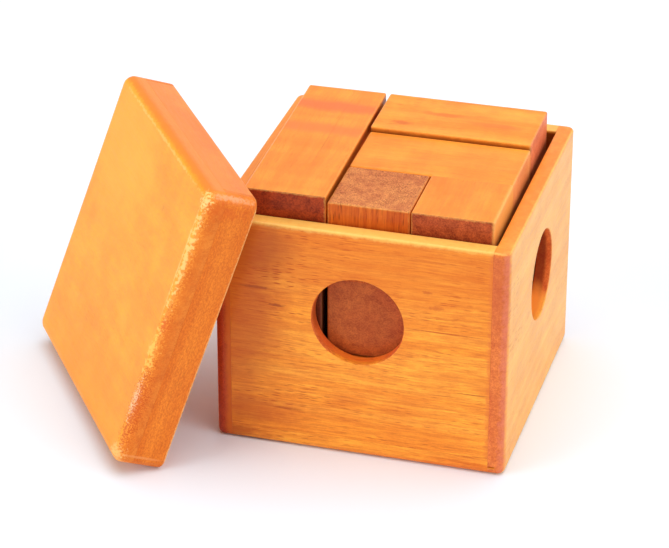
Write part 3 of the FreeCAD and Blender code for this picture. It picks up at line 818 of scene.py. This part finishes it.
lid_boards = (
    ("lid_left_rail", Y, 40.0, LID_SIDE_LOOK), ("lid_right_rail", Y, 41.0, LID_SIDE_LOOK),
    ("lid_front_rail", X, 42.0, LID_TOP_LOOK), ("lid_back_rail", X, 43.0, LID_TOP_LOOK),
    ("lid_panel", X, 44.0, LID_LOOK),
)
for node, grain, seed, look in lid_boards:
    low, high = span(node, LID_TURN)
    board = sawn_block(low, high)
    middle = (low + high) / 2
    corners = sharp_edges(board, lambda a, b: abs(a.z - b.z) > MM
                          and at_lid_side(a, X) and at_lid_side(a, Y))
    if corners:
        round_over(board, corners, LID_CORNER_RADIUS, steps=7)
    if node == "lid_panel":
        face_edges = sharp_edges(board, lambda a, b: min(a.z, b.z) > high.z - TOUCH)
        round_over(board, face_edges, LID_FACE_RADIUS, steps=6)
    else:
        inner_axis = X if corners else Y
        inner = low[inner_axis] if middle[inner_axis] > 0 else high[inner_axis]
        rim = sharp_edges(board, lambda a, b: max(a.z, b.z) < low.z + TOUCH
                          and max(abs(a[inner_axis] - inner), abs(b[inner_axis] - inner)) > TOUCH
                          and (corners or abs(a.y - b.y) < TOUCH))
        round_over(board, rim, LID_RIM_EASE, steps=4)
    round_over(board, sharp_edges(board), LID_GLUE_LINE, steps=1)
    grid = LID_GRID if node == "lid_panel" else GRID
    cut_grid(board, low, high, grid, margin=(LID_CORNER_RADIUS if corners else LID_RIM_EASE) * 1.05)
    hand_sand(board, SANDED)
    if node == "lid_panel":
        scuff(board, SCUFFED)
    finish = lacquered(f"{node}_finish", low, high, LID_TURN, grain, seed, LID_OUTSIDE, look)
    finished_piece(node, board, LID_TURN, finish, "lid")

# Table. A plain white sheet of paper under the box, a little bluish, so that it stays white beside the
# warm light that comes off the wood. It runs on past the camera's view and takes the box's soft shadow.
TABLE_SIZE = 3.0
TABLE_WHITE = (0.87, 0.93, 1.0, 1.0)
PAPER_ROUGHNESS = 0.9
PAPER_SHINE = 0.1
table_mesh = bmesh.new()
bmesh.ops.create_grid(table_mesh, x_segments=4, y_segments=4, size=TABLE_SIZE)
sheet = bpy.data.meshes.new("table")
table_mesh.to_mesh(sheet)
table_mesh.free()
table = bpy.data.objects.new("table", sheet)
bpy.context.scene.collection.objects.link(table)
paper = bpy.data.materials.new("white_table")
paper.use_nodes = True
tree = paper.node_tree
shader = tree.nodes["Principled BSDF"]
shader.inputs["Base Color"].default_value = TABLE_WHITE
shader.inputs["Roughness"].default_value = PAPER_ROUGHNESS
shader.inputs["Specular IOR Level"].default_value = PAPER_SHINE
sheet.materials.append(paper)

# Light. A light tent: a dim white room, a wide soft light almost straight above, and two weaker ones low
# on the left and right that fill in the front and the lid. The camera and reflections see white cloth.
ROOM_LIGHT = 0.25
CLOTH_SEEN = 1.0
LIGHTS = {
    "high_light": ((0.12, 0.11, 0.98), 2.25, 70.0),
    "left_light": ((-0.75, -0.60, 0.25), 1.54, 40.0),
    "right_light": ((0.85, -0.25, 0.40), 0.98, 50.0),
}
world = bpy.data.worlds.new("white_room")
bpy.context.scene.world = world
world.use_nodes = True
tree = world.node_tree
background = tree.nodes["Background"]
background.inputs["Color"].default_value = (1.0, 1.0, 1.0, 1.0)
rays = add_node(tree, "LightPath").outputs
seen = sums(tree, "MAXIMUM", rays["Is Camera Ray"], rays["Is Glossy Ray"])
seen = sums(tree, "MAXIMUM", seen, rays["Is Transmission Ray"])
glow = sums(tree, "MULTIPLY_ADD", seen, CLOTH_SEEN - ROOM_LIGHT, ROOM_LIGHT)
tree.links.new(glow, background.inputs["Strength"])
for name, (direction, strength, width) in LIGHTS.items():
    light_data = bpy.data.lights.new(name, "SUN")
    light_data.energy = strength
    light_data.angle = math.radians(width)
    light = bpy.data.objects.new(name, light_data)
    bpy.context.scene.collection.objects.link(light)
    light.rotation_euler = (-Vector(direction)).to_track_quat("-Z", "Y").to_euler()

# Camera. A long lens in front of the box and a little to its right, looking down on it. Its place and
# lens come from fitting the straight edges of the box and the puzzle.
LENS = 163.3
SENSOR_WIDTH = 36.0
CAMERA_PLACE = (0.16527, -0.64129, 0.38485)
CAMERA_DEGREES = (61.899, -0.099, 15.860)
camera_data = bpy.data.cameras.new("camera")
camera_data.lens = LENS
camera_data.sensor_width = SENSOR_WIDTH
camera = bpy.data.objects.new("camera", camera_data)
bpy.context.scene.collection.objects.link(camera)
camera.location = CAMERA_PLACE
camera.rotation_euler = [math.radians(angle) for angle in CAMERA_DEGREES]
bpy.context.scene.camera = camera
bpy.context.scene.view_settings.view_transform = "Standard"
